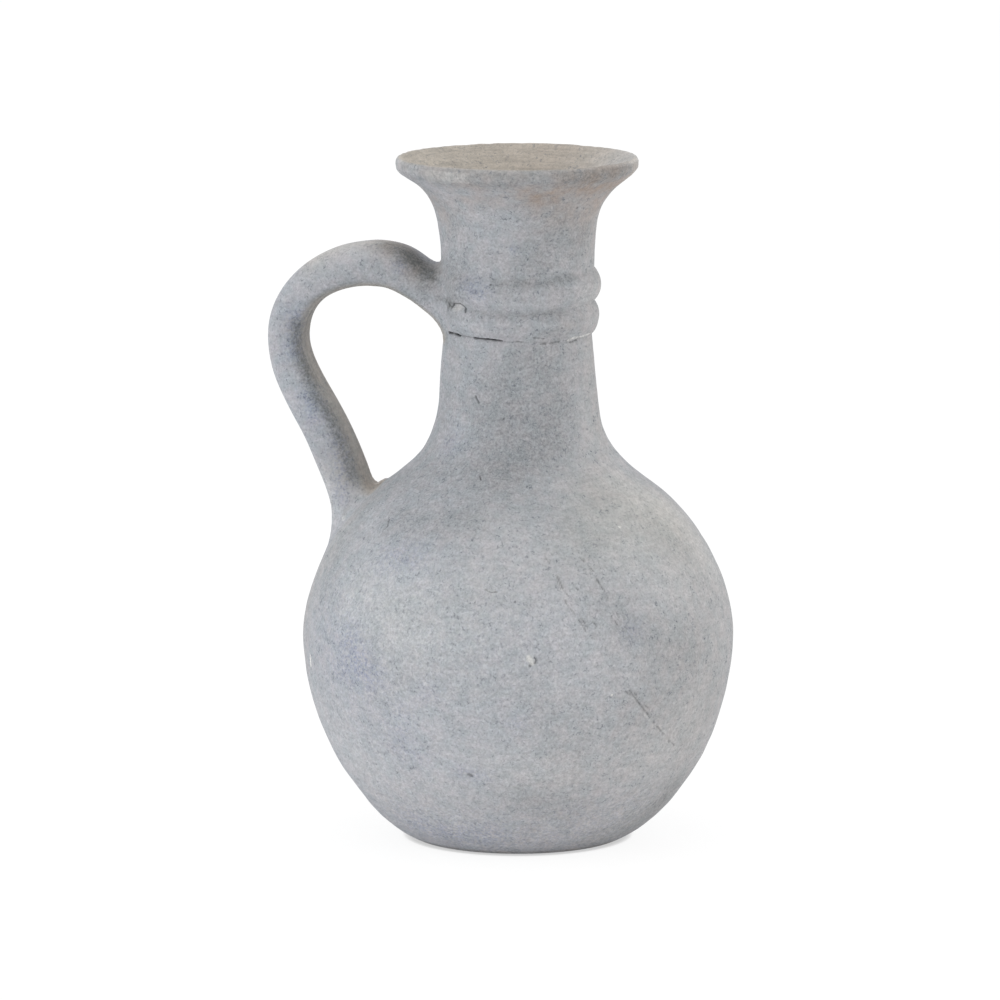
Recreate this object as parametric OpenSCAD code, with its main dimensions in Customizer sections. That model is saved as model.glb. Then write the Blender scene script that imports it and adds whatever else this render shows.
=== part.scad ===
// Pitcher vase: a thrown, fired-clay vessel with a near-round belly, a banded neck,
// a flared mouth with a rolled lip and one pulled strap handle on the -X side.
// The origin is the centre of the flat foot, and the vessel's axis is +Z.

/* [Body] */
// Height of the vase from the foot to the crest of the lip
vase_h = 226; // [214:0.5:245]
// Widest diameter of the belly
belly_d = 142.2; // [124:0.2:160]
// Height at which the belly is widest
belly_h = 67.3; // [58:0.1:76]
// Fullness of the lower belly where it leaves the foot
low_full_foot = 0.25; // [0.15:0.01:0.45]
// Fullness of the lower belly where it reaches the widest line
low_full_belly = 0.375; // [0.25:0.005:0.5]
// Fullness of the upper belly where it leaves the widest line
high_full_belly = 0.25; // [0.15:0.01:0.45]
// Fullness of the upper belly where it reaches the shoulder
high_full_shoulder = 0.39; // [0.25:0.01:0.5]

/* [Foot] */
// Diameter of the flat that the vase stands on
foot_d = 67.6; // [56:0.2:80]
// Radius that softens the edge of the foot
foot_round = 2.8; // [1:0.1:5]
// Slope of the wall where it leaves the foot, in degrees from level
foot_lean = 23; // [12:1:45]

/* [Shoulder and neck] */
// Diameter at the shoulder, where the outline turns from round to hollow
shoulder_d = 89; // [80:0.2:98]
// Height of that turn
shoulder_h = 117.5; // [110:0.1:125]
// Slope of the wall at that turn, in degrees, where 90 is straight up
shoulder_lean = 144; // [132:1:152]
// Fullness of the hollow curve where it leaves the shoulder
neck_full_shoulder = 0.47; // [0.3:0.01:0.6]
// Fullness of the hollow curve where it reaches the collar
neck_full_collar = 0.53; // [0.3:0.01:0.6]
// Diameter of the neck just below the collar
neck_d = 48.4; // [42:0.1:56]
// Slope of the neck just below the collar, in degrees, where 90 is straight up
neck_lean = 95; // [90:0.5:98]

/* [Collar] */
// Height of the lower rounded band
low_band_h = 10.4; // [7:0.1:13]
// Height of the upper rounded band
high_band_h = 10.8; // [7:0.1:13]
// How far the lower band stands out
low_band_proud = 2.2; // [0.8:0.05:3.5]
// How far the upper band stands out
high_band_proud = 2.3; // [0.8:0.05:3.5]
// Diameter in the groove between the bands
groove_d = 49.8; // [44:0.1:57]
// Step that the lower band makes over the neck
collar_step = 0.6; // [0.2:0.05:1.2]

/* [Mouth] */
// Height of the flared mouth, from the collar to the crest of the lip
mouth_h = 36.4; // [30:0.1:44]
// Diameter of the throat just above the collar
throat_d = 50.2; // [44:0.1:57]
// Diameter over the lip
rim_d = 80; // [70:0.2:92]
// Radius of the roll on the outside of the lip
roll_r = 2.4; // [1.8:0.05:3]
// Radius that rounds the crest of the lip
lip_round = 1.5; // [0.8:0.05:1.7]
// Slope of the flare where it meets the roll, in degrees from level
rim_lean = 41; // [34:1:56]
// Slope of the shallow dish inside the lip, in degrees from level
dish_lean = 38; // [28:1:52]
// Fullness of the flare where it leaves the throat
flare_full_throat = 0.7; // [0.4:0.01:0.8]
// Fullness of the flare under the lip
flare_full_lip = 0.3; // [0.15:0.01:0.45]

/* [Wall] */
// Thickness of the wall of the belly
belly_wall = 5.4; // [4:0.1:7]
// Thickness of the wall of the neck and throat
neck_wall = 5; // [4:0.1:6]
// Thickness of the floor
floor_t = 7; // [5:0.1:10]
// Fullness of the rounded inside where it leaves the floor
bowl_full_floor = 0.42; // [0.3:0.01:0.5]
// Fullness of the rounded inside where it reaches the widest line
bowl_full_belly = 0.4; // [0.3:0.01:0.5]

/* [Handle] */
// Width of the strap, across the handle
strap_w = 18; // [14:0.5:22]
// Thickness of the strap at its outer bend
strap_t = 12.4; // [9:0.1:15]
// Thickness of the strap on its long lower run
strap_low_t = 14.4; // [11:0.1:17]
// Thickness of the strap at the crest
strap_crest_t = 15; // [11:0.1:17]
// Thickness of the strap where it leaves the neck
strap_root_t = 13.6; // [10:0.1:16]
// Squareness of the flatter face that the fingers touch
inner_square = 3.2; // [2:0.1:4]
// Squareness of the rounder outer face
outer_square = 2.5; // [2:0.1:4]
// Reach of the handle, from the axis to the outside of its bend
handle_reach = 83.7; // [78:0.1:92]
// Height of the bend's outermost point below the crest
bend_drop = 25.2; // [20:0.1:30]
// Rise of the crest above the groove of the collar
crest_rise = 10.8; // [7:0.1:15]
// Distance of the crest from the axis
crest_out = 47.6; // [42:0.1:54]
// Slope at which the handle leaves the neck, in degrees from level
root_rise = 37; // [20:1:45]
// Place of the middle of the long lower run, as a share of the way from the seat up to the bend
run_share = 0.4054; // [0.3:0.0001:0.55]
// Distance of that middle from the axis
run_out = 61.5; // [57:0.1:68]
// Slope of the lower run there, in degrees, where 90 is straight down
run_slope = 113; // [104:1:122]
// Height at which the middle of the lower end goes into the belly
seat_h = 101.5; // [96:0.1:107]
// Depth of that middle inside the belly's outline
seat_depth = 5.6; // [4:0.1:8]
// Slope of the lower end, in degrees, where 90 is straight down
seat_slope = 100; // [90:1:112]
// Radius of the smeared clay that blends the upper end into the neck
root_fillet = 5; // [2:0.1:8]
// Radius of the smeared clay under the lower end, on the outside
seat_fillet = 7.5; // [3:0.1:11]
// Radius of the smeared clay inside the loop at the lower end
loop_fillet = 4.5; // [2:0.1:8]

/* [Handle curve] */
// Fullness of the middle line where it leaves the neck
root_full = 0.3; // [0.1:0.01:0.6]
// Fullness before the crest
crest_full_in = 0.5; // [0.3:0.01:0.7]
// Fullness after the crest
crest_full_out = 0.2; // [0.1:0.01:0.5]
// Fullness before the outer bend
bend_full_in = 0.56; // [0.3:0.01:0.7]
// Fullness after the outer bend
bend_full_out = 0.3; // [0.1:0.01:0.6]
// Fullness before the middle of the lower run
run_full_in = 0.45; // [0.2:0.01:0.6]
// Fullness after that middle
run_full_out = 0.47; // [0.2:0.01:0.6]
// Fullness where the middle line reaches the belly
seat_full = 0.47; // [0.2:0.01:0.6]

/* [Smoothness] */
// Steps along each long curve of the outside
curve_steps = 16; // [12:1:40]
// Steps along each long curve of the inside
inner_steps = 10; // [8:1:30]
// Sides of the strap's section
strap_sides = 32; // [16:4:40]

/* [Hidden] */

// Grey of the dry, sandy slip
CLAY = [0.66, 0.68, 0.70];
// How far the cut for the inside runs on above the lip
ABOVE = 1;
// Length of the handle inside the wall at each end, which the cut for the inside trims
BURIED = 8;
// Half of the height over which the outline's slope is measured
NUDGE = 0.5;
// Depth under the wall's surface at which a fillet would be tangent to it
CREASE = 0.4;
// Softness of a band's edges, where 1 is a plain half wave
BAND_SOFT = 0.8;

FOOT_STEPS = 4;
BAND_STEPS = 10;
ROLL_STEPS = 4;

// Rings of the strap inside each end, up to the crest, the bend, the lower run and the seat
END_RINGS = 8;
CREST_RINGS = 18;
BEND_RINGS = 16;
RUN_RINGS = 14;
SEAT_RINGS = 16;

// Points on a cubic curve from a to b, with its slope in degrees and its fullness,
// a share of the straight distance, at each end
function curve(a, slope_a, full_a, b, slope_b, full_b, steps) =
    let (
        reach = norm(b - a),
        pull_a = a + full_a * reach * [cos(slope_a), sin(slope_a)],
        pull_b = b - full_b * reach * [cos(slope_b), sin(slope_b)]
    )
    [for (i = [0 : steps])
        let (t = i / steps, s = 1 - t)
        s * s * s * a + 3 * s * s * t * pull_a + 3 * s * t * t * pull_b + t * t * t * b];

// The same points without the first, to go on from a curve that ends there
function after_first(points) = [for (i = [1 : len(points) - 1]) points[i]];

// A point moved square to its slope, towards the vessel's inside
function inwards(point, slope, depth) = point + depth * [-sin(slope), cos(slope)];

// Points on a straight line
function straight(a, b, steps) = [for (i = [0 : steps]) a + (b - a) * i / steps];

// Arc about a centre
function arc(centre, radius, from, to, steps) =
    [for (i = [0 : steps])
        let (a = from + (to - from) * i / steps)
        centre + radius * [cos(a), sin(a)]];

// Rounded band from one radius and height to the next, standing out by proud
function band(from, to, proud) =
    [for (i = [0 : BAND_STEPS])
        let (t = i / BAND_STEPS)
        from + (to - from) * t + [proud * pow(sin(180 * t), BAND_SOFT), 0]];

// Stations of the outer outline, as [distance from the axis, height]
foot_edge = [foot_d / 2 + foot_round * sin(foot_lean), foot_round * (1 - cos(foot_lean))];
belly_line = [belly_d / 2, belly_h];
shoulder_line = [shoulder_d / 2, shoulder_h];
throat_line = [throat_d / 2, vase_h - mouth_h];
groove_line = [groove_d / 2, throat_line[1] - high_band_h];
collar_foot = [neck_d / 2, groove_line[1] - low_band_h];
roll_centre = [rim_d / 2 - roll_r, vase_h - roll_r];
lip_under = roll_centre + roll_r * [sin(rim_lean), -cos(rim_lean)];
lip_centre = [rim_d / 2 - lip_round, vase_h - lip_round];

// Outer outline, from the foot to the crest of the lip
outer_outline = concat(
    arc([foot_d / 2, foot_round], foot_round, -90, foot_lean - 90, FOOT_STEPS),
    after_first(curve(foot_edge, foot_lean, low_full_foot,
        belly_line, 90, low_full_belly, curve_steps)),
    after_first(curve(belly_line, 90, high_full_belly,
        shoulder_line, shoulder_lean, high_full_shoulder, curve_steps)),
    after_first(curve(shoulder_line, shoulder_lean, neck_full_shoulder,
        collar_foot, neck_lean, neck_full_collar, curve_steps)),
    band(collar_foot + [collar_step, 0], groove_line, low_band_proud),
    after_first(band(groove_line, throat_line, high_band_proud)),
    after_first(curve(throat_line, 90, flare_full_throat,
        lip_under, rim_lean, flare_full_lip, curve_steps)),
    after_first(arc(roll_centre, roll_r, rim_lean - 90, 0, ROLL_STEPS)),
    arc(lip_centre, lip_round, 0, 90, ROLL_STEPS)
);

// Stations of the inside, each one wall thickness in from its outer station
bowl_line = [belly_d / 2 - belly_wall, belly_h];
inner_shoulder = inwards(shoulder_line, shoulder_lean, belly_wall);
inner_neck = [neck_d / 2 - neck_wall, collar_foot[1]];
inner_throat = [throat_d / 2 - neck_wall, throat_line[1]];
lip_inside = lip_centre + lip_round * [-sin(dish_lean), cos(dish_lean)];

// Inner outline, from the middle of the floor to the crest of the lip
inner_outline = concat(
    curve([0, floor_t], 0, bowl_full_floor, bowl_line, 90, bowl_full_belly, inner_steps),
    after_first(curve(bowl_line, 90, high_full_belly,
        inner_shoulder, shoulder_lean, high_full_shoulder, inner_steps)),
    after_first(curve(inner_shoulder, shoulder_lean, neck_full_shoulder,
        inner_neck, neck_lean, neck_full_collar, inner_steps)),
    [inner_throat],
    after_first(curve(inner_throat, 90, flare_full_throat,
        lip_inside, dish_lean, flare_full_lip, inner_steps)),
    after_first(arc(lip_centre, lip_round, 90 + dish_lean, 90, ROLL_STEPS))
);

// Plain outline without the bands, as [height, distance from the axis] from the belly up
plain_outline = concat(
    [for (p = outer_outline) if (p[1] >= belly_h && p[1] <= collar_foot[1]) [p[1], p[0]]],
    [for (p = outer_outline) if (p[1] >= throat_line[1] && p[1] <= lip_under[1]) [p[1], p[0]]]
);
function wall_at(height) = lookup(height, plain_outline);

// Slope of that outline in degrees, where 90 is straight up
function wall_slope(height) =
    atan2(2 * NUDGE, wall_at(height + NUDGE) - wall_at(height - NUDGE));

// Direction square to the vessel's wall at a point, and the point's distance from it
function wall_normal(point) =
    let (slope = wall_slope(point[2]), turn = atan2(point[1], point[0]))
    [sin(slope) * cos(turn), sin(slope) * sin(turn), -cos(slope)];
function from_wall(point) =
    (norm([point[0], point[1]]) - wall_at(point[2])) * sin(wall_slope(point[2]));

// Stations of the handle's middle line, from inside the neck to inside the belly
root = groove_line;
crest = [crest_out, groove_line[1] + crest_rise];
bend = [handle_reach - strap_t / 2, crest[1] - bend_drop];
seat = [wall_at(seat_h) - seat_depth, seat_h];
run = [run_out, seat[1] + run_share * (bend[1] - seat[1])];
root_end = root - BURIED * [cos(root_rise), sin(root_rise)];
seat_end = seat + BURIED * [cos(seat_slope), -sin(seat_slope)];

handle_line = concat(
    straight(root_end, root, END_RINGS),
    after_first(curve(root, root_rise, root_full, crest, 0, crest_full_in, CREST_RINGS)),
    after_first(curve(crest, 0, crest_full_out, bend, -90, bend_full_in, BEND_RINGS)),
    after_first(curve(bend, -90, bend_full_out, run, -run_slope, run_full_in, RUN_RINGS)),
    after_first(curve(run, -run_slope, run_full_out, seat, -seat_slope, seat_full, SEAT_RINGS)),
    after_first(straight(seat, seat_end, END_RINGS))
);
crest_ring = END_RINGS + CREST_RINGS;
bend_ring = crest_ring + BEND_RINGS;
run_ring = bend_ring + RUN_RINGS;
last_ring = len(handle_line) - 1;

function ring_direction(i) =
    let (step = handle_line[min(i + 1, last_ring)] - handle_line[max(i - 1, 0)])
    step / norm(step);

function ring_thickness(i) =
    lookup(i, [[END_RINGS, strap_root_t], [crest_ring, strap_crest_t],
        [bend_ring, strap_t], [run_ring, strap_low_t]]);

// Rounded-square share of a sine or cosine
function squared(value, squareness) = sign(value) * pow(abs(value), 2 / squareness);

// How far a fillet spreads at a distance from the wall that it runs into
function fillet_spread(distance, radius) =
    distance >= radius ? 0
    : distance <= 0 ? radius
    : radius - sqrt(radius * radius - pow(radius - distance, 2));

// A point of the strap, moved along the wall where the strap runs into it. The fillet
// runs on to a depth of CREASE, so it meets the wall at a small angle
function smeared(point, outward, radius) =
    let (
        normal = wall_normal(point),
        along = outward - (outward * normal) * normal
    )
    point + fillet_spread(from_wall(point) + CREASE, radius) * along / max(norm(along), NUDGE);

// One ring of the strap about the middle line
function ring(i) =
    let (
        direction = ring_direction(i),
        inner_side = [-direction[1], 0, -direction[0]],
        centre = [-handle_line[i][0], 0, handle_line[i][1]]
    )
    [for (k = [0 : strap_sides - 1])
        let (
            angle = 360 * k / strap_sides,
            square = cos(angle) > 0 ? inner_square : outer_square,
            outward = cos(angle) * inner_side + [0, sin(angle), 0],
            low_fillet = seat_fillet + (loop_fillet - seat_fillet) * (1 + cos(angle)) / 2,
            radius = i < bend_ring ? root_fillet : low_fillet,
            point = centre
                + ring_thickness(i) / 2 * squared(cos(angle), square) * inner_side
                + [0, strap_w / 2 * squared(sin(angle), square), 0]
        )
        smeared(point, outward, radius)];

module vessel_outside() {
    rotate_extrude()
        polygon(concat([[0, 0]], outer_outline, [[0, vase_h]]));
}

module vessel_inside() {
    rotate_extrude()
        polygon(concat(inner_outline, [[lip_centre[0], vase_h + ABOVE], [0, vase_h + ABOVE]]));
}

module handle() {
    polyhedron(
        points = [for (i = [0 : last_ring]) each ring(i)],
        faces = concat(
            [[for (k = [strap_sides - 1 : -1 : 0]) k]],
            [for (i = [0 : last_ring - 1]) for (k = [0 : strap_sides - 1])
                let (
                    next = (k + 1) % strap_sides,
                    low = i * strap_sides,
                    high = low + strap_sides
                )
                each [
                    [low + k, high + next, high + k],
                    [low + k, low + next, high + next]
                ]],
            [[for (k = [0 : strap_sides - 1]) last_ring * strap_sides + k]]
        )
    );
}

module pitcher() {
    color(CLAY)
        difference() {
            union() {
                vessel_outside();
                handle();
            }
            vessel_inside();
        }
}

pitcher();
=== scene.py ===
from bisect import bisect_left, bisect_right
from math import atan2, copysign, cos, degrees, exp, hypot, pi, radians, sin, sqrt

import bmesh
import bpy
from bpy.props import FloatProperty, FloatVectorProperty, IntProperty, PointerProperty
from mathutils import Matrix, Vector, noise


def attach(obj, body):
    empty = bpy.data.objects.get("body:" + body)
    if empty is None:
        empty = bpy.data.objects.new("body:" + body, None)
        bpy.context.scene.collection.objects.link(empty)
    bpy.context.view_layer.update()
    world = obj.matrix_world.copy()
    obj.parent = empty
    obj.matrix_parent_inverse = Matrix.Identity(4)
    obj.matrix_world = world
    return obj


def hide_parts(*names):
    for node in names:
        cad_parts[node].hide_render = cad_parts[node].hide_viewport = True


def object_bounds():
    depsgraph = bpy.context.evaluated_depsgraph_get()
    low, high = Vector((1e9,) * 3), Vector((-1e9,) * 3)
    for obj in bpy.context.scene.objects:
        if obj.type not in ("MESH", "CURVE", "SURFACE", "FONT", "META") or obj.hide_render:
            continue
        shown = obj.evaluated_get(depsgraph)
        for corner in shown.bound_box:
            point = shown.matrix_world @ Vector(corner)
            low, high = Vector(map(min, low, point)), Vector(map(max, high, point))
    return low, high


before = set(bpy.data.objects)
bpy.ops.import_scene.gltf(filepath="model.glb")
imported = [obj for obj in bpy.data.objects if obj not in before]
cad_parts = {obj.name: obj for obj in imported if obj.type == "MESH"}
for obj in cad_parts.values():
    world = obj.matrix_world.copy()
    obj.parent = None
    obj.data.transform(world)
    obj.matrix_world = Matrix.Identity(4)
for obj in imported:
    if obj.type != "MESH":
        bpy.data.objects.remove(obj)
CAD_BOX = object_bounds()

bl_info = {
    "name": "Pitcher vase",
    "version": (1, 0, 0),
    "blender": (4, 5, 0),
    "location": "3D View > Sidebar > Pitcher",
    "description": "Fired-clay pitcher vase with a pulled handle, and its studio stage",
    "category": "Add Mesh",
}

MM = 0.001

# Shares of the straight distance that pull each long curve of the outline
LOW_FULL = (0.25, 0.375)
HIGH_FULL = (0.25, 0.39)
NECK_FULL = (0.47, 0.53)
FLARE_FULL = (0.7, 0.3)
BOWL_FULL = (0.42, 0.4)
# Slopes of the outline at its stations, in degrees, where 90 is straight up
FOOT_LEAN = 23
SHOULDER_LEAN = 144
NECK_LEAN = 95
RIM_LEAN = 41
DISH_LEAN = 38
# Softness of a band's edges, where 1 is a plain half wave
BAND_SOFT = 0.8
# Places around the vessel, each an azimuth and how far round it reaches, in degrees: where the
# collar's lower edge is smeared on to the neck, where its bands are most worn, and where the
# dish of the mouth is greyer, warmer and ashier
SMEARED_SIDE = (-60, 27)
WORN_SIDE = (-95, 55)
GREY_SIDE = (20, 35)
WARM_SIDE = (80, 40)
ASH_SIDE = (150, 45)
# Share of the collar's edge that is smeared away, up to a height over it
SMEAR = 0.95
SMEAR_HEIGHT = 7 * MM
# Share of a band's relief that is worn away
BAND_WORN = 0.3
# Angles from the handle's at which the collar's bands begin and are whole
BANDS_CLEAR = (30, 50)
# Distance between the rings of the mesh on each stretch of the outline
BELLY_GAP = 2.0 * MM
NECK_GAP = 1.5 * MM
BAND_GAP = 0.75 * MM
FLARE_GAP = 1.2 * MM
LIP_GAP = 0.5 * MM
HIDDEN_GAP = 4.0 * MM
# Steps of each curve before it is spaced out
FINE_STEPS = 60
# Steps between two points of a mark or stain that follows the wall
TRAIL_STEPS = 4
# Ring number of the handle and of points cut into the wall. The vessel's rings count from 0
HANDLE_RING = -1
WALL_RING = 1
# Rings on each side of the roll that count as the lip, and rings past it that dents still move
LIP_RINGS = 9
PUSHED_RINGS = 4
# Rings at the handle's lower end over which its smoky grey and painted shade fade
SEAT_FADE = 14
# How far from its line the faces under a mark are cut finer, and how far the mark can reach:
# times its half width, and a length besides
CUT_REACH = (1.6, 1.4 * MM)
MARK_REACH = (2.2, 0.4 * MM)
# Shares of a mark's width between which its colour fades
MARK_FADE = (0.5, 1.35)
# Cuts across each face near a mark, on the belly and up to a height over the shoulder, and
# on the neck and the handle
FINE_CUTS = 5
FINE_ABOVE = 12 * MM
COLLAR_CUTS = 3
# Depth of the sandy grain
GRAIN_RELIEF = 0.12 * MM
# Widths of the hand's unevenness: the wall's wobble and its finer part, the throwing ridges
# (around and up) and the worn lip. The wall stays true just over the foot
WOBBLE_SIZE = 34 * MM
TREMBLE_SIZE = 11 * MM
TREMBLE_SHARE = 0.4
RIDGE_SIZE = (40 * MM, 3.2 * MM)
WEAR_SIZE = 2.6 * MM
STEADY = 6 * MM
# A mark's ragged edge and uneven width: share of its width, and size
RAGGED = (0.25, 1.3 * MM)
UNEVEN = (0.45, 3 * MM)

# Slopes of the handle's middle line, in degrees from level, and its pulls
ROOT_RISE = 37
RUN_SLOPE = -113
SEAT_SLOPE = -100
CREST_FULL = (0.3, 0.5)
BEND_FULL = (0.2, 0.56)
RUN_FULL = (0.3, 0.45)
SEAT_FULL = (0.47, 0.47)
# Squareness of the strap's section on the finger side and outside
INNER_SQUARE = 3.2
OUTER_SQUARE = 2.5
# Length of the handle's middle line inside the wall at each end, places along it that are well
# inside, and the halvings that find where its skin goes through the wall
BURIED = 8 * MM
INSIDE = (-1.5, 5.5)
HALVINGS = 40

# The hand-made collar: how far each of its lines strays in height (mm) around the neck, as
# (azimuth, spread, rise). Azimuths are in degrees about the axis, from +X
COLLAR_STRAY = ((-138, 20, 1.1), (-55, 40, -0.6))
GROOVE_STRAY = ((-76, 38, -2.1),)
THROAT_STRAY = ((-76, 42, -1.9),)
# How far under and over the collar nothing strays any more
STRAY_BELOW = 9 * MM
STRAY_ABOVE = 12 * MM
# Soft dents and bulges of the wall: azimuth, height, reach around, reach up, depth (mm)
PUSHES = (
    (-168, 221.0, 25, 2.6, 0.55),
    (12, 223.4, 30, 2.6, -0.45),
    (-78, 214.0, 30, 3.0, -0.35),
    (-110, 173.5, 12, 5.0, 0.4),
    (-60, 120.0, 22, 12.0, -0.3),
    (-120, 96.0, 25, 14.0, 0.3),
    (12, 207.0, 35, 6.0, -0.4),
    (12, 182.0, 30, 3.5, 0.3),
    (12, 172.5, 30, 3.0, -0.4),
    (12, 146.0, 40, 12.0, 0.38),
    (12, 27.0, 45, 22.0, 0.55),
    (12, 10.0, 40, 6.0, 0.25),
    (-168, 203.0, 35, 4.0, 0.2),
    (-168, 103.0, 30, 5.0, 0.35),
    (-168, 153.0, 30, 9.0, 0.3),
    (-168, 127.0, 25, 6.0, -0.5),
    (-168, 92.0, 30, 14.0, -0.3),
    (-168, 16.0, 35, 6.0, -0.5),
)
# Square of the distance, in reaches, at which a push is too weak to count
PUSH_END = 9
# The same on the handle: x and z of the middle, heading of its side, reach and depth (mm)
HANDLE_PUSHES = (
    (-75, 182, 135, 12, -0.75),
    (-80, 168, 180, 8, 0.3),
    (-74, 142, 190, 13, 0.4),
    (-67, 121, 190, 13, 0.45),
    (-30, 192, 50, 6, -0.8),
    (-38, 181, -120, 5, 0.6),
)

# Fine marks of each kind: half width and depth (mm), and lines of points. A point is an
# azimuth and a height (mm) on the wall alone, or x, y and z (mm) on wall and handle alike
MARKS = {
    "crack": (
        (0.48, 0.9, ((-143, 169.2), (-136, 169.2), (-129, 169.1))),
        (0.36, 0.8, ((-112.5, 168.8), (-100.5, 168.7), (-90.5, 168.3))),
    ),
    "hair": (
        (0.2, 0.4, ((-129, 169.1), (-120.6, 169.1), (-113, 168.9))),
        (0.34, 0.4, ((-136, 177.6), (-135.4, 178.6), (-132.5, 179.4)),
         ((-73.6, 72.2), (-73.2, 71.4), (-73.5, 70.4))),
        (0.24, 0.3, ((-132.5, 179.4), (-124.8, 179.7))),
        (0.3, 0.4, ((-124.8, 179.7), (-121.4, 178.8), (-119.6, 177.2)),
         ((-110.6, 149.8), (-109.4, 148.8), (-107.8, 147.8))),
        (0.28, 0.3, ((-98.6, 125.2), (-98, 124.8), (-97.2, 124.1))),
    ),
    "scratch": (
        (0.3, 0.1, ((-86, 168.4), (-80, 168.2), (-70, 167.8)),
         ((-60, 167.2), (-52, 167.4), (-44, 167.6))),
        (0.26, 0.1, ((-66, 169.4), (-58, 169))),
        (0.3, 0.15, ((-87.3, 93.2), (-85.6, 92.3), (-84, 92.6))),
        (0.26, 0.3, ((-34, 167), (-26, 167.5))),
        (0.6, 0.5, ((-24.6, -10.5, 179.6), (-21.6, -13.2, 178.8), (-18.8, -17.2, 178.4))),
        (0.3, 0.2, ((-131, 110.5), (-129.6, 108.9), (-130.2, 107.2))),
        (0.24, 0.12, ((68, 92), (74, 82), (79, 76))),
        (0.24, 0.15, ((-66.6, 97.5), (-64.9, 93), (-63.4, 90.5)), ((-61.7, 84.6), (-59.6, 80)),
         ((-45.8, 58.6), (-41, 52.8)), ((-37.1, 46.6), (-31.6, 41.3), (-26.5, 37.5))),
        (0.22, 0.12, ((-61.9, 94.6), (-60.6, 92.7)), ((-58.3, 102.4), (-56, 99.5), (-54.2, 97.3)),
         ((-57.2, 101.9), (-55.2, 98.6)), ((-54.5, 96), (-53.6, 93.6), (-52.5, 91.6)),
         ((-60.9, 84.8), (-58.9, 80.8)), ((-57.9, 83.6), (-56.4, 81.2)),
         ((-51.8, 84.1), (-49.6, 80.1))),
        (0.28, 0.2, ((-48.7, 59.4), (-46.4, 57.6))),
        (0.3, 0.25, ((-47.3, 59.6), (-46, 57.6), (-41.5, 51.8), (-36.6, 46.2))),
        (0.26, 0.2, ((-39, 48.6), (-33.8, 43.3), (-29.6, 39.2))),
    ),
    "dot": (
        (0.36, 0.2, ((-78.8, 89.6),)),
        (0.3, 0.2, ((-90, 89.2),), ((-57, 160.2),), ((-118, 159),), ((-88, 143),)),
        (0.5, 0.4, ((-74.8, 69.6),)),
        (0.55, 0.2, ((-92.6, 31.8), (-91.8, 31.5))),
        (0.38, 0.2, ((-36.2, 211.6),)),
        (0.4, 0.2, ((-98, 186.9),)),
        (0.34, 0.2, ((-131, 201.5),), ((-45, 172.3),)),
    ),
    "chip": (
        (0.5, 0.3, ((-36, 167.8), (-31, 168.3), (-24, 168.4))),
        (0.42, 0.3, ((-22, 168.5), (-14, 168.6), (-6.6, 168.5))),
    ),
    "seam": (
        (1.3, -0.7,
         ((-45.5, 1.5, 117), (-48.5, -2.5, 114), (-52, -8, 109.6), (-55.5, -11.4, 105.4))),
    ),
    "graze": (
        (0.24, 0.12, ((-70.5, 105.1), (-67.6, 99.7), (-64.5, 88.9), (-61.4, 84.2)),
         ((-69.6, 105), (-66.4, 98.4), (-63, 88))),
        (0.22, 0.12, ((-59.4, 80.4), (-57.6, 77), (-54.9, 71.4), (-51.3, 64.9)),
         ((-56, 99.5), (-53.5, 93.2), (-50.6, 83.1), (-43.6, 71.2)),
         ((-54.8, 97.6), (-51.6, 88.4), (-47.4, 79))),
    ),
    "speck": (
        (0.5, 0.2, ((112, 64),), ((-39.2, 109.9),)),
        (0.7, 0.2, ((-151.9, 63), (-152.2, 61.6), (-152.4, 60.2))),
        (0.36, 0.2, ((-52.5, 58.6),)),
    ),
    "burr": (
        (0.26, -0.1, ((-41.6, 50.6), (-37.2, 45.6))),
        (0.24, -0.1, ((-35.4, 45.8), (-32, 42.6))),
    ),
    "pit": (
        (0.95, 0.7, ((-75.1, 72.2), (-74.5, 71.2), (-74.1, 70.6))),
    ),
}
# How dark, smoked and pale the middle of each kind of mark is. The dark in cracks and hair lines
# is painted shade inside the cut
MARK_KINDS = {
    "crack": {"dark": 1.0},
    "hair": {"dark": 0.6},
    "scratch": {"dark": 0.16, "smoke": 0.55},
    "graze": {"dark": 0.1, "smoke": 0.4},
    "burr": {"pale": 0.22},
    # The seam's pale is partly smeared clay and partly a painted highlight on its ridge
    "seam": {"pale": 0.45},
    "chip": {"pale": 0.6},
    "pit": {"pale": 0.7},
    "speck": {"pale": 1.0},
    "dot": {"dark": 0.55},
}
# Kinds that come and go along their line, with how much of it stays (more when lower), how
# softly the pieces end and how long they are
BROKEN = {"scratch": -0.4, "burr": -0.4, "graze": -0.1}
BREAK_SOFT = 0.45
BREAK_SIZE = 2.2 * MM
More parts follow.
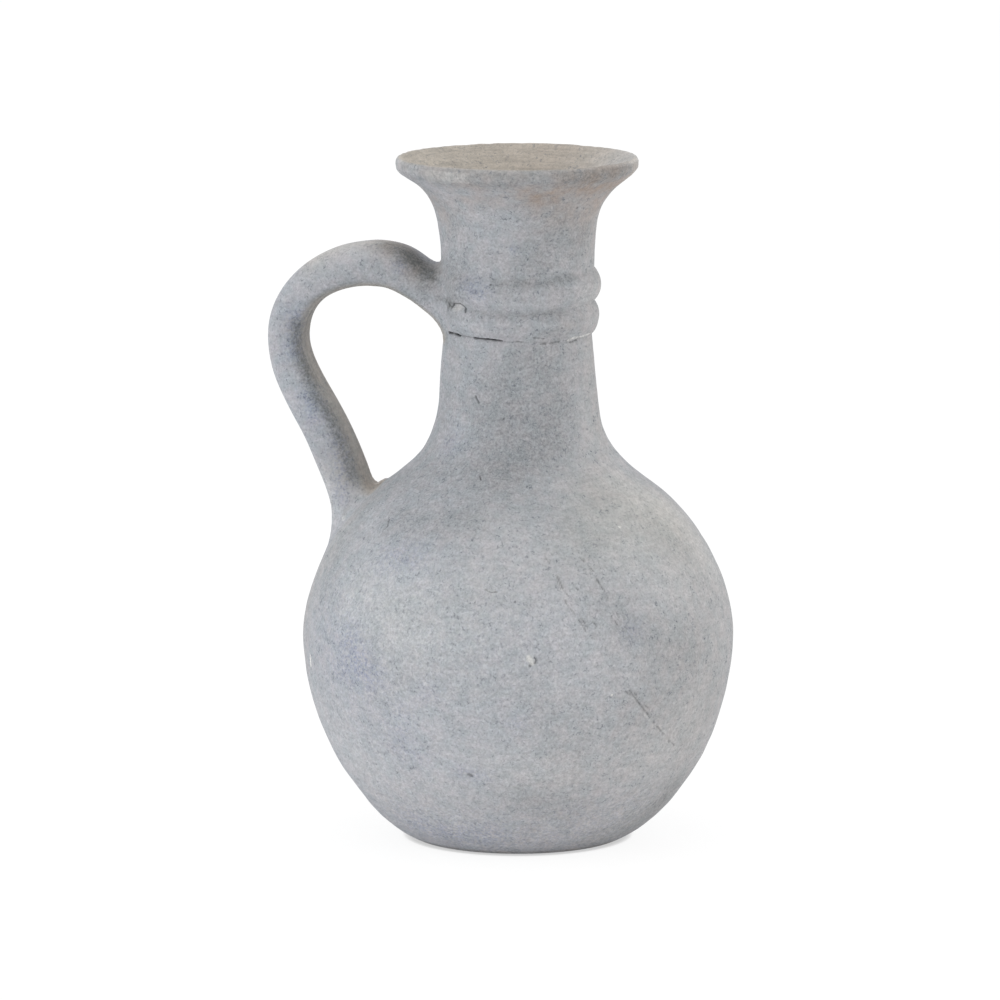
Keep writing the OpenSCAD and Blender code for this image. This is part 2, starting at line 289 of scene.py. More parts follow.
# Soft stains of each kind: strength, reach (mm) and a line of points as above
STAINS = {
    # Some of these rows are painted shade, and some pale rows painted highlights, as noted at each
    "smoke": (
        # Dark band along the strap's front edge by its finger side, down the lower run: painted
        # shade
        (0.62, 2.6, ((-73.3, -8.2, 169.5), (-71.3, -8, 157), (-66.2, -8.7, 146),
                     (-61.3, -8.5, 138.2), (-58.3, -8, 130.8), (-56, -8, 124.5),
                     (-54.4, -8, 119))),
        # This row and the next darken the handle's top by the neck, under the lip: painted shade
        (0.62, 4, ((-41, -4.5, 195.5), (-36, -5.5, 193.6))),
        (0.9, 3.5, ((-34.5, -6.2, 192), (-30, -7.4, 189.8), (-28, -8, 188))),
        # This row and the next two darken the crease between handle and upper band, where they
        # meet, and under the arch: painted shade
        (0.5, 1.5, ((-25, -10.5, 180), (-21.6, -13.4, 179.2), (-18.8, -17.4, 178.8))),
        (0.36, 7, ((-26, -13, 187), (-20, -17, 187), (-16, -20.5, 185), (-18, -18, 180))),
        (0.18, 5, ((-58, -8, 183.5), (-50, -8.6, 186), (-42, -9, 187.5), (-31, -9, 184))),
        (0.26, 9, ((-30, 200), (-50, 206))), (0.2, 8, ((-76, 190), (-56, 192))),
        (0.14, 6, ((-80, 163), (-60, 164), (-44, 171))), (0.14, 5, ((-50, 180), (-18, 183))),
        (0.12, 6, ((-62, 198),)), (0.08, 14, ((-60, 46), (-66, 28))), (0.1, 8, ((-112, 62),)),
        (0.14, 7, ((-150, 130), (-142, 150), (-136, 164))),
        (0.16, 12, ((-146, 214), (-134, 204), (-126, 196))),
        (0.24, 11, ((-86, 150), (-74, 152), (-50, 158))),
        (0.2, 11, ((-104, 146), (-90, 136), (-82, 128))),
        (0.13, 9, ((-84, 124), (-70, 116), (-58, 110))),
        # Darker on the shoulder under the handle and between it and the neck: painted shade
        (0.28, 11, ((-156, 117), (-140, 124), (-98, 126))),
        # The second row here darkens the lower right, where the belly turns under: painted shade
        (0.3, 8, ((-66, 132), (-56, 138), (-48, 144))), (0.32, 9, ((-40, 4), (-20, 9), (-13, 17))),
        (0.05, 28, ((-78, 200), (-78, 160))), (0.06, 10, ((-156, 112), (-150, 96))),
        # The first row here is painted shade on the lower right as well
        (0.16, 10, ((-30, 14), (-16, 14))), (0.1, 12, ((-150, 95), (-144, 86))),
        # The second row here is painted shade on the shoulder under the handle
        (0.1, 16, ((-40, 56), (-20, 46))), (0.3, 9, ((-98, 113), (-112, 111), (-126, 111))),
        (0.2, 10, ((-52, 84), (-38, 76), (-26, 70))), (0.16, 7, ((-78, 24), (-66, 18))),
        # This row and the next darken the crease over the upper band and the groove between the
        # bands
        (0.3, 1.3, ((-96, 187.2), (-84, 187.1), (-70, 187.2), (-50, 187.8), (-32, 188.8))),
        (0.22, 1.6, ((-112, 177.4), (-88, 176.7), (-64, 176.8), (-46, 177.6))),
        # This row and the next two darken the roll under the lip's crest: painted shadow
        (0.24, 2.4, ((-150, 221), (-128, 221), (-104, 221))),
        (0.28, 2.8, ((-100, 221), (-78, 221.6), (-56, 221.6), (-30, 221.6), (-8, 222.8))),
        (0.4, 1.2, ((-56, 222.6), (-20, 222.4), (4, 222.8))),
        # Darker in the groove beside the handle: painted shade
        (0.45, 2.2, ((-158, 178.8), (-142, 178.6))),
        # Thin dark line along the foot's lowest edge, where it meets the floor: painted contact
        # shade
        (0.35, 1.3, ((-150, 0.8), (-115, 0.8), (-78, 0.8), (-40, 0.8), (-5, 0.8))),
        (0.08, 9, ((-72, 50), (-66, 44))), (0.12, 6, ((-50, 133),)),
        (0.1, 10, ((-100, 64), (-75, 62), (-69, 52))), (0.22, 12, ((60, 204), (90, 160))),
        (0.2, 14, ((112, 132), (60, 120))), (0.24, 10, ((140, 22), (100, 8))),
    ),
    "warm": (
        (0.7, 5.5, ((-42, -3, 196), (-36, -4.5, 194), (-30, -7, 190))),
        (0.45, 1.5, ((-45.5, 0, 118.4), (-50, -6, 113.4), (-55.6, -10.6, 107))),
        (0.8, 5.5, ((-66, 216.5), (-51, 220), (-38, 220.4), (-18, 219))),
        (0.5, 9, ((-50, 214), (-16, 211))), (0.65, 5.5, ((-34, 219), (-12, 218), (2, 220))),
        (0.14, 26, ((-60, 22), (-40, 50))), (0.06, 22, ((-10, 200), (-30, 150))),
        (0.35, 4, ((-124, 221), (-106, 220.5), (-86, 220.5), (-70, 219))),
        (0.3, 5.5, ((-112, 215), (-92, 215), (-76, 217))),
        (0.14, 3.6, ((-42, 173.6), (-32, 174.6))), (0.14, 14, ((-166, 66),)),
        (0.22, 15, ((-128, 12), (-80, 6), (-36, 10))),
        (0.5, 1.3, ((-150, 0.8), (-115, 0.8), (-78, 0.8), (-40, 0.8), (-5, 0.8))),
        (0.34, 8, ((-150, 214), (-140, 210))), (0.35, 7, ((84, 214), (122, 217))),
    ),
    "beige": (
        # Lighter along the top of the handle: partly its slip and partly painted light on its
        # upper side
        (0.4, 6, ((-46, -2, 198), (-58, -3, 197), (-68, -4, 191))),
        (0.4, 7, ((-50, -4, 114), (-57, -6, 122))), (0.06, 20, ((-50, 205), (-50, 165))),
        (0.16, 14, ((-162, 105), (-164, 76))), (0.28, 40, ((20, 60), (-10, 95), (-10, 30))),
        (0.3, 15, ((-34, 120), (-8, 110))), (0.26, 12, ((-4, 216), (2, 190), (0, 165), (-4, 138))),
        (0.12, 14, ((-84, 112), (-86, 96), (-50, 107))), (0.4, 4, ((-4, 222.5), (8, 223))),
    ),
    "blue": (
        (0.05, 9, ((-77, -6, 174), (-74, -7, 154), (-62, -7, 124))),
        (0.12, 32, ((-118, 86), (-88, 72))), (0.32, 15, ((-128, 12), (-80, 6), (-36, 10))),
        (0.36, 3.6, ((-116, 186), (-106, 184.5))), (0.6, 1, ((-81.6, 198.4),)),
        (0.4, 2.6, ((-37.5, -8.8, 189.6),)), (0.36, 3.6, ((-73.4, -8.2, 172), (-73.4, -8.2, 160))),
        (0.36, 3.4, ((-69.2, -8.9, 146), (-66, -8.9, 139))),
        (0.32, 3.6, ((-58.9, -8.4, 131), (-57.5, -8.9, 122), (-58.2, -8.9, 113))),
        (0.25, 5.5, ((-126, 134.4),)), (0.42, 5.5, ((-128, 73), (-122, 64))),
        (0.25, 5, ((-132, 63), (-118, 62))), (0.22, 6, ((-112, 52), (-113, 42), (-110, 37))),
        (0.22, 4, ((-102, 60),)), (0.3, 9, ((68, 68), (96, 48))),
        (0.3, 3.4, ((-95, 32.6), (-88, 31))), (0.4, 6, ((-122, 10), (-104, 7.5), (-90, 8))),
        (0.14, 20, ((-140, 80), (-130, 60), (-124, 45))), (0.25, 6, ((-120, 100.5), (-112, 102))),
        (0.28, 4, ((-46, 78.5),)), (0.28, 3, ((-78, 50.5),)),
    ),
    "pale": (
        # Lighter along the top of the handle: painted light on its upper side
        (0.16, 5, ((-42, -2, 197.5), (-56, -2, 196.5), (-66, -3, 192))),
        (0.22, 15, ((-128, 12), (-80, 6), (-36, 10))), (0.12, 9, ((-85, 34), (-61, 32))),
        (0.1, 8, ((-116, 55),)), (0.12, 26, ((104, 84),)), (0.09, 18, ((-128, 34), (-100, 26))),
        (0.1, 18, ((-150, 44), (-136, 34))), (0.13, 34, ((-104, 76), (-74, 70))),
        # The first row here lightens the right shoulder: painted light
        (0.22, 11, ((-16, 118), (-2, 108), (0, 96))), (0.12, 4, ((-24, 181.5), (-8, 181))),
        (0.08, 13, ((-40, 104), (-26, 92))), (0.14, 12, ((-128, 88), (-112, 80))),
        (0.1, 12, ((-40, 34), (-24, 44))), (0.3, 1.2, ((-131.5, 178.2), (-125, 178.4))),
        # Lighter on the left of the lip's roll: painted highlight
        (0.2, 1.3, ((-126, 221.2), (-115, 221.6), (-104, 222))),
        (0.15, 5, ((-62, -7, 116), (-62, -7, 108))), (0.15, 4, ((-4, 222.5), (8, 223))),
        # Lighter along the crest of the lip at the front: painted highlight
        (0.3, 1, ((-118, 225), (-92, 225.2), (-66, 225))),
    ),
    "ash": (
        (0.14, 15, ((-50, 112), (-22, 108))), (0.09, 16, ((-150, 94), (-96, 82))),
    ),
}
# Measures that the shader reads at each point of the skin
LAYERS = ("beige", "dark", "smoke", "blue", "warm", "pale", "ash")


def heading(slope):
    """Unit direction in the outline's plane for a slope in degrees."""
    return Vector((cos(radians(slope)), sin(radians(slope))))


def cubic(a, slope_a, b, slope_b, full):
    """The four control points of a cubic with a slope and a fullness at each end."""
    reach = (b - a).length
    return (a, a + full[0] * reach * heading(slope_a), b - full[1] * reach * heading(slope_b), b)


def on_cubic(control, t):
    """Point on a cubic at t from 0 to 1."""
    s = 1 - t
    a, pull_a, pull_b, b = control
    return s * s * s * a + 3 * s * s * t * pull_a + 3 * s * t * t * pull_b + t * t * t * b


def curve(*ends):
    """Fine points along a cubic."""
    control = cubic(*ends)
    return [on_cubic(control, i / FINE_STEPS) for i in range(FINE_STEPS + 1)]


def arc(centre, radius, start, end):
    """Fine points along an arc, with its angles in degrees."""
    return [centre + radius * heading(start + (end - start) * i / FINE_STEPS)
            for i in range(FINE_STEPS + 1)]


def spaced(points, count):
    """The same line with count equal steps."""
    lengths = [0.0]
    for a, b in zip(points, points[1:]):
        lengths.append(lengths[-1] + (b - a).length)
    result = []
    for i in range(count + 1):
        target = lengths[-1] * i / count
        k = min(bisect_right(lengths, target), len(points) - 1)
        span = lengths[k] - lengths[k - 1]
        t = 0.0 if span == 0 else (target - lengths[k - 1]) / span
        result.append(points[k - 1].lerp(points[k], min(t, 1.0)))
    return result


def with_gap(points, gap):
    """The same line with steps of about gap."""
    length = sum((b - a).length for a, b in zip(points, points[1:]))
    return spaced(points, max(1, round(length / gap)))


def bell(value, width):
    """1 at 0, and softly down to 0 away from it."""
    return exp(-(value / width) ** 2)


def smoothstep(low, high, value):
    """0 up to low, 1 from high, and a soft step between."""
    t = max(0.0, min(1.0, (value - low) / (high - low)))
    return t * t * (3 - 2 * t)


def measure(name, description, default, unit="LENGTH"):
    """A property with a unit, a length in metres unless another is named."""
    return FloatProperty(name=name, description=description, default=default, unit=unit)


def linear(hex_code):
    """Linear colour of an sRGB hex value such as #B1B4B8."""
    parts = [int(hex_code[i:i + 2], 16) / 255 for i in (1, 3, 5)]
    return tuple(c / 12.92 if c <= 0.04045 else ((c + 0.055) / 1.055) ** 2.4 for c in parts)


def colour(name, description, hex_code):
    """A colour property from an sRGB hex value."""
    return FloatVectorProperty(
        name=name, description=description, subtype="COLOR", size=3, min=0, max=1,
        default=linear(hex_code))


class VesselSizes(bpy.types.PropertyGroup):
    """Sizes of the thrown vessel."""
    height: measure("Height", "From the foot to the crest of the lip", CAD_BOX[1][2])
    belly_diameter: measure("Belly diameter", "Widest diameter of the belly", 142.2 * MM)
    belly_height: measure("Belly height", "Height at which the belly is widest", 67.3 * MM)
    foot_diameter: measure(
        "Foot diameter", "Diameter of the flat that the vase stands on", 67.6 * MM)
    foot_round: measure("Foot rounding", "Radius that softens the edge of the foot", 2.8 * MM)
    shoulder_diameter: measure(
        "Shoulder diameter", "Diameter where the outline turns from round to hollow", 89 * MM)
    shoulder_height: measure("Shoulder height", "Height of that turn", 117.5 * MM)
    neck_diameter: measure("Neck diameter", "Diameter just below the collar", 48.4 * MM)
    low_band: measure("Lower band height", "Height of the lower rounded band", 10.4 * MM)
    high_band: measure("Upper band height", "Height of the upper rounded band", 10.8 * MM)
    low_band_proud: measure("Lower band relief", "How far the lower band stands out", 2.2 * MM)
    high_band_proud: measure("Upper band relief", "How far the upper band stands out", 2.3 * MM)
    collar_step: measure("Collar step", "Step that the lower band makes over the neck", 0.6 * MM)
    groove_diameter: measure(
        "Groove diameter", "Diameter in the groove between the bands", 49.8 * MM)
    throat_diameter: measure("Throat diameter", "Diameter just above the collar", 50.2 * MM)
    mouth_height: measure("Mouth height", "From the collar to the crest of the lip", 36.4 * MM)
    rim_diameter: measure("Rim diameter", "Diameter over the lip", 80 * MM)
    roll_radius: measure("Roll radius", "Radius of the roll on the outside of the lip", 2.4 * MM)
    lip_round: measure("Lip rounding", "Radius that rounds the crest of the lip", 1.5 * MM)
    belly_wall: measure("Belly wall", "Thickness of the wall of the belly", 5.4 * MM)
    neck_wall: measure("Neck wall", "Thickness of the wall of the neck", 5 * MM)
    floor: measure("Floor", "Thickness of the floor", 7 * MM)
    wobble: measure("Wobble", "How far the hand-made wall strays from the turned form", 0.28 * MM)
    ridges: measure("Throwing ridges", "Height of the faint rings left by the fingers", 0.1 * MM)
    lip_wear: measure("Lip wear", "Unevenness of the worn lip", 0.22 * MM)
    columns: IntProperty(
        name="Columns", description="Faces around the vessel", default=180, min=48, max=240)


class HandleSizes(bpy.types.PropertyGroup):
    """Sizes of the pulled strap handle."""
    width: measure("Strap width", "Width of the strap, across the handle", 18 * MM)
    root_thickness: measure(
        "Thickness at the neck", "Thickness where the strap leaves the neck", 13.6 * MM)
    crest_thickness: measure(
        "Thickness at the crest", "Thickness of the strap at its highest point", 15 * MM)
    bend_thickness: measure(
        "Thickness at the bend", "Thickness of the strap at its outer bend", 12.4 * MM)
    low_thickness: measure(
        "Thickness of the lower run", "Thickness of the long lower run", 14.4 * MM)
    reach: measure("Reach", "From the axis to the outside of the bend", -CAD_BOX[0][0])
    crest_rise: measure(
        "Crest rise", "Rise of the crest above the groove of the collar", 10.8 * MM)
    crest_out: measure("Crest distance", "Distance of the crest from the axis", 47.6 * MM)
    bend_drop: measure("Bend drop", "Height of the outermost point below the crest", 25.2 * MM)
    run_share: FloatProperty(
        name="Place of the lower run", description="Share of the way from the seat up to the bend",
        default=0.4054, min=0.3, max=0.55)
    run_out: measure(
        "Distance of the lower run", "Distance of its middle from the axis", 61.5 * MM)
    seat_height: measure(
        "Seat height", "Height at which the lower end goes into the belly", 101.5 * MM)
    seat_depth: measure(
        "Seat depth", "Depth of the middle line inside the belly's outline", 5.6 * MM)
    root_fillet: measure("Upper fillet", "Radius of the smeared clay at the neck", 5 * MM)
    seat_fillet: measure(
        "Lower fillet", "Radius of the smeared clay outside the lower end", 7.5 * MM)
    loop_fillet: measure("Loop fillet", "Radius of the smeared clay inside the loop", 4.5 * MM)
    sides: IntProperty(
        name="Sides", description="Faces around the strap", default=64, min=24, max=96)


class ClayColours(bpy.types.PropertyGroup):
    """Colours of the fired clay and its dry slip."""
    cool: colour("Cool slip", "Cooler places of the slip", "#B0B5BC")
    warm: colour("Warm slip", "Warmer places of the slip", "#B6B5BB")
    beige: colour("Beige slip", "Slip inside the mouth and faintly on one side", "#C2BAAF")
    blue: colour("Blue bloom", "Bluish bloom from the kiln", "#8A92AC")
    # Also the colour of painted shade in creases, under the lip, round the handle and at the foot
    smoke: colour("Smoke", "Darker smoked places", "#6C6E6D")
    body: colour("Bare clay", "Warm clay that shows through thin slip", "#A3958B")
    grit: colour("Grit", "Dark grains in the slip", "#74787F")
    # Also the near-white of painted highlights on the lip, the handle's top, the right shoulder
    # and the seam by the handle
    chalk_and_highlight: colour("Chalk", "Pale grains and chipped edges", "#F0EFEB")
    ash: colour("Ash", "Faint greenish ash in the slip", "#A0B0A4")
    # Near-black painted shade inside cracks and hair lines
    crack: colour("Crack", "Inside of a crack", "#2E2D2E")
    cloud_size: measure("Cloud size", "Size of the widest clouds in the slip", 26 * MM)
    mottle_size: measure("Mottle size", "Size of the mottling from the sponge", 5 * MM)
    brush_size: measure("Brush mark size", "Thickness of the faint brush marks", 1.4 * MM)
    grain_size: measure(
        "Grain size", "Size of the sandy grains, as coarse as a render can show", 1.2 * MM)


class StageSettings(bpy.types.PropertyGroup):
    """Studio light and floor."""
    left_power: measure("Left light", "Power of the soft light on the left", 3.7, "POWER")
    right_power: measure("Right light", "Power of the soft light on the right", 1.75, "POWER")
    top_power: measure("Top light", "Power of the soft light overhead", 2.1, "POWER")
    sky: FloatProperty(
        name="Surround", description="Strength of the white surroundings", default=0.82, min=0)
    floor: colour("Floor", "Pale studio floor", "#F2F2F2")


# Wall


class Outline:
    """The vessel's outline and its plain wall, without the bands."""

    def __init__(self, s):
        lean = radians(FOOT_LEAN)
        foot_edge = Vector((s.foot_diameter / 2 + s.foot_round * sin(lean),
                            s.foot_round * (1 - cos(lean))))
        belly = Vector((s.belly_diameter / 2, s.belly_height))
        self.shoulder = Vector((s.shoulder_diameter / 2, s.shoulder_height))
        self.throat = Vector((s.throat_diameter / 2, s.height - s.mouth_height))
        self.groove = Vector((s.groove_diameter / 2, self.throat.y - s.high_band))
        self.collar = Vector((s.neck_diameter / 2, self.groove.y - s.low_band))
        roll_centre = Vector((s.rim_diameter / 2 - s.roll_radius, s.height - s.roll_radius))
        lip_centre = Vector((s.rim_diameter / 2 - s.lip_round, s.height - s.lip_round))
        lip_under = roll_centre + s.roll_radius * heading(RIM_LEAN - 90)
        lip_inside = lip_centre + s.lip_round * heading(DISH_LEAN + 90)
        low = curve(foot_edge, FOOT_LEAN, belly, 90, LOW_FULL)
        high = curve(belly, 90, self.shoulder, SHOULDER_LEAN, HIGH_FULL)
        neck = curve(self.shoulder, SHOULDER_LEAN, self.collar, NECK_LEAN, NECK_FULL)
        flare = curve(self.throat, 90, lip_under, RIM_LEAN, FLARE_FULL)
        self.plain = low + high[1:] + neck[1:] + flare
        self.heights = [p.y for p in self.plain]

        bowl = Vector((s.belly_diameter / 2 - s.belly_wall, s.belly_height))
        inner_shoulder = self.shoulder + s.belly_wall * heading(SHOULDER_LEAN + 90)
        inner_neck = Vector((s.neck_diameter / 2 - s.neck_wall, self.collar.y))
        inner_throat = Vector((s.throat_diameter / 2 - s.neck_wall, self.throat.y))
        inner_mouth = curve(inner_throat, 90, lip_inside, DISH_LEAN, FLARE_FULL)
        inner_up = curve(inner_shoulder, SHOULDER_LEAN, inner_neck, NECK_LEAN, NECK_FULL)
        inner_high = curve(bowl, 90, inner_shoulder, SHOULDER_LEAN, HIGH_FULL)
        inner_low = curve(Vector((0, s.floor)), 0, bowl, 90, BOWL_FULL)

        foot = arc(Vector((s.foot_diameter / 2, s.foot_round)), s.foot_round, -90, FOOT_LEAN - 90)
        lip = arc(lip_centre, s.lip_round, 0, DISH_LEAN + 90)
        roll = arc(roll_centre, s.roll_radius, RIM_LEAN - 90, 0) + [lip[0]]
        under = [Vector((0, 0)), Vector((s.foot_diameter / 2, 0))]
        collar_edge = self.collar + Vector((s.collar_step, 0))
        step = [self.collar, collar_edge]
        stretches = [
            (under, HIDDEN_GAP), (foot, 2 * LIP_GAP), (low, BELLY_GAP), (high, BELLY_GAP),
            (neck, NECK_GAP), (step, LIP_GAP),
            ([collar_edge, self.groove], BAND_GAP), ([self.groove, self.throat], BAND_GAP),
            (flare, FLARE_GAP), (roll, LIP_GAP), (lip, LIP_GAP), (inner_mouth[::-1], FLARE_GAP),
            ([inner_throat, inner_neck], HIDDEN_GAP), (inner_up[::-1], HIDDEN_GAP),
            (inner_high[::-1], HIDDEN_GAP), (inner_low[::-1], HIDDEN_GAP),
        ]
        self.rings = [under[0]]
        for points, gap in stretches:
            self.rings += with_gap(points, gap)[1:]
            last = len(self.rings) - 1
            if points is step:
                self.edge_ring = last
            if points is roll:
                self.roll_ring = last
            if points is lip:
                self.lip_ring = last

    def radius(self, z):
        """Distance of the plain outer wall from the axis at a height."""
        k = max(1, min(bisect_right(self.heights, z), len(self.plain) - 1))
        a, b = self.plain[k - 1], self.plain[k]
        t = 0.0 if b.y == a.y else (z - a.y) / (b.y - a.y)
        return a.x + (b.x - a.x) * t

    def at(self, azimuth, z):
        """Point on the plain outer wall, at an azimuth in degrees and a height."""
        turn, radius = radians(azimuth), self.radius(z)
        return Vector((radius * cos(turn), radius * sin(turn), z))

    def normal(self, co):
        """Direction square to the plain wall at the height of co."""
        nudge = 0.5 * MM
        slope = atan2(2 * nudge, self.radius(co.z + nudge) - self.radius(co.z - nudge))
        around = Vector((co.x, co.y, 0)).normalized()
        return around * sin(slope) - Vector((0, 0, cos(slope)))

    def distance(self, co):
        """Distance of a point from the plain wall."""
        around = Vector((co.x, co.y, 0))
        return (around.length - self.radius(co.z)) * self.normal(co).dot(around.normalized())


class Strap:
    """The handle's middle line and its section, on the -X side."""

    def __init__(self, s, outline):
        self.s = s
        self.outline = outline
        root = outline.groove
        crest = Vector((s.crest_out, root.y + s.crest_rise))
        bend = Vector((s.reach - s.bend_thickness / 2, crest.y - s.bend_drop))
        seat = Vector((outline.radius(s.seat_height) - s.seat_depth, s.seat_height))
        run = Vector((s.run_out, seat.y + s.run_share * (bend.y - seat.y)))
        self.parts = [
            cubic(root, ROOT_RISE, crest, 0, CREST_FULL),
            cubic(crest, 0, bend, -90, BEND_FULL),
            cubic(bend, -90, run, RUN_SLOPE, RUN_FULL),
            cubic(run, RUN_SLOPE, seat, SEAT_SLOPE, SEAT_FULL),
        ]
        self.starts = [(root, heading(ROOT_RISE)), (seat, heading(SEAT_SLOPE))]
        self.thick = [s.root_thickness, s.crest_thickness, s.bend_thickness,
                      s.low_thickness, s.low_thickness]

    def middle(self, u):
        """Middle line at u: 0 at the root, 1 crest, 2 bend, 3 run, 4 seat."""
        if u < 0:
            start, way = self.starts[0]
            return start + way * u * BURIED
        if u > 4:
            start, way = self.starts[1]
            return start + way * (u - 4) * BURIED
        part = min(int(u), 3)
        return on_cubic(self.parts[part], u - part)

    def thickness(self, u):
        """Thickness of the strap at u."""
        u = max(0.0, min(u, 4.0))
        part = min(int(u), 3)
        return self.thick[part] + (self.thick[part + 1] - self.thick[part]) * (u - part)

    def plain_point(self, u, turn):
        """Point of the strap's skin and its outward direction, before the clay is smeared."""
        nudge = 0.01
        step = self.middle(u + nudge) - self.middle(u - nudge)
        step.normalize()
        inner = Vector((-step.y, 0, -step.x))
        middle = self.middle(u)
        cosine, sine = cos(turn), sin(turn)
        square = INNER_SQUARE if cosine > 0 else OUTER_SQUARE
        across = copysign(abs(cosine) ** (2 / square), cosine) * self.thickness(u) / 2
        aside = copysign(abs(sine) ** (2 / square), sine) * self.s.width / 2
        co = Vector((-middle.x, 0, middle.y)) + across * inner + Vector((0, aside, 0))
        return co, cosine * inner + Vector((0, sine, 0))

    def point(self, u, turn):
        """The same point, spread along the wall where the strap runs into it."""
        s, wall = self.s, self.outline
        co, outward = self.plain_point(u, turn)
        low = s.seat_fillet + (s.loop_fillet - s.seat_fillet) * (1 + cos(turn)) / 2
        fillet = s.root_fillet if u < 2 else low
        away = wall.distance(co)
        if away >= fillet:
            return co
        spread = fillet - sqrt(max(0.0, fillet ** 2 - (fillet - max(away, 0.0)) ** 2))
        normal = wall.normal(co)
        along = outward - outward.dot(normal) * normal
        moved = co + spread * along / max(along.length, 0.5)
        return moved + wall.normal(moved) * (away - wall.distance(moved))

    def crossing(self, inside, outside, turn):
        """Value of u at which the skin goes through the wall."""
        for _ in range(HALVINGS):
            middle = (inside + outside) / 2
            if self.outline.distance(self.plain_point(middle, turn)[0]) < 0:
                inside = middle
            else:
                outside = middle
        return outside

    def lines(self):
        """One line of points along the strap for each side, from wall to wall."""
        root_end, seat_start, rings, end_rings = 0.8, 3.05, 66, 12
        result = []
        for k in range(self.s.sides):
            turn = 2 * pi * k / self.s.sides
            first = self.crossing(INSIDE[0], root_end, turn)
            last = self.crossing(INSIDE[1], seat_start, turn)
            ends = []
            for a, b in ((first, root_end), (seat_start, last)):
                fine = [self.point(a + (b - a) * i / FINE_STEPS, turn)
                        for i in range(FINE_STEPS + 1)]
                ends.append(spaced(fine, end_rings))
            middle = [self.point(root_end + (seat_start - root_end) * i / rings, turn)
                      for i in range(rings + 1)]
            result.append(ends[0] + middle[1:-1] + ends[1])
        return result


# Modelling


def azimuth_of(co):
    """Azimuth of a point, in degrees."""
    return degrees(atan2(co.y, co.x))


def turn_between(a, b):
    """Difference of two azimuths, from -180 to 180 degrees."""
    return (a - b + 180) % 360 - 180


def from_handle(co):
    """How far round from the handle's middle a point is, in degrees."""
    return abs(turn_between(azimuth_of(co), 180))


def beside(co, side):
    """1 on one side of the vessel, and softly down to 0 away from it."""
    return bell(turn_between(azimuth_of(co), side[0]), side[1])


def band_relief(s, outline, co):
    """How far the collar's bands stand out at a height."""
    for low, high, proud in ((outline.collar.y, outline.groove.y, s.low_band_proud),
                             (outline.groove.y, outline.throat.y, s.high_band_proud)):
        if low < co.z < high:
            wave = sin(pi * ((co.z - low) / (high - low))) ** BAND_SOFT
            worn = 1 - BAND_WORN * beside(co, WORN_SIDE)
            return worn * proud * wave * smoothstep(*BANDS_CLEAR, from_handle(co))
    return 0.0


def collar_stray(outline, co):
    """How far the hand-made collar's lines stray in height at a place."""
    levels = [(outline.collar.y - STRAY_BELOW, ()), (outline.collar.y, COLLAR_STRAY),
              (outline.groove.y, GROOVE_STRAY), (outline.throat.y, THROAT_STRAY),
              (outline.throat.y + STRAY_ABOVE, ())]
    for (low, stray_low), (high, stray_high) in zip(levels, levels[1:]):
        if low <= co.z < high:
            rises = [sum(rise * beside(co, side) for *side, rise in stray)
                     for stray in (stray_low, stray_high)]
            rise = rises[0] + (rises[1] - rises[0]) * ((co.z - low) / (high - low))
            return rise * MM * smoothstep(*BANDS_CLEAR, from_handle(co))
    return 0.0


def throw_body(bm, s, outline):
    """Spins the outline into the vessel, raises the bands and lets the collar stray."""
    ring = bm.verts.layers.int.new("ring")
    layers = [bm.verts.layers.float.new(name) for name in LAYERS]
    verts = []
    for i, p in enumerate(outline.rings):
        vert = bm.verts.new((p.x, 0, p.y))
        vert[ring] = i
        verts.append(vert)
    edges = [bm.edges.new(pair) for pair in zip(verts, verts[1:])]
    bmesh.ops.spin(bm, geom=verts + edges, cent=(0, 0, 0), axis=(0, 0, 1),
                   angle=2 * pi, steps=s.columns, use_merge=True)
    bmesh.ops.remove_doubles(bm, verts=bm.verts, dist=0.01 * MM)
    beige, pale, warm, ash = (layers[LAYERS.index(name)]
                              for name in ("beige", "pale", "warm", "ash"))
    for vert in bm.verts:
        # 0 where the roll of the lip ends, 1 where the dish of the mouth begins
        share = (vert[ring] - outline.roll_ring) / (outline.lip_ring - outline.roll_ring)
        dish = smoothstep(0.3, 0.7, share)
        grey = beside(vert.co, GREY_SIDE)
        vert[beige] = (0.2 * smoothstep(-1.2, 0, share) + 0.8 * dish) * (1 - 0.55 * grey)
        # Paler along the crest of the lip, more on the grey side: painted highlight
        vert[pale] = (0.12 + 0.2 * grey) * bell(share - 0.5, 0.25)
        vert[pale] += 0.14 * dish * grey
        vert[warm] = 0.25 * dish * beside(vert.co, WARM_SIDE)
        vert[ash] = 0.15 * dish * beside(vert.co, ASH_SIDE)
        if vert[ring] < outline.roll_ring:
            around = Vector((vert.co.x, vert.co.y, 0)).normalized()
            relief = band_relief(s, outline, vert.co)
            if outline.edge_ring <= vert[ring]:
                smear = SMEAR * beside(vert.co, SMEARED_SIDE)
                smear *= 1 - smoothstep(0, SMEAR_HEIGHT, vert.co.z - outline.collar.y)
                relief -= smear * (relief + s.collar_step)
            rise = collar_stray(outline, vert.co)
            vert.co += relief * around + Vector((0, 0, rise))


def open_wall(bm, outline, loop, columns):
    """Takes out the wall under one end of the handle and returns the edges of the hole."""
    ring = bm.verts.layers.int["ring"]
    margin = 0.6 * MM
    low = min(p.z for p in loop) - margin
    high = max(p.z for p in loop) + margin
    reach = max(from_handle(p) for p in loop) + 180 / columns
    doomed = []
    for face in bm.faces:
        if any(v[ring] >= outline.roll_ring for v in face.verts):
            continue
        tall = max(v.co.z for v in face.verts) > low and min(v.co.z for v in face.verts) < high
        if tall and from_handle(face.calc_center_median()) < reach:
            doomed.append(face)
    border = {e for f in doomed for e in f.edges
              if any(other not in doomed for other in e.link_faces)}
    bmesh.ops.delete(bm, geom=doomed, context="FACES")
    return [e for e in border if e.is_valid]


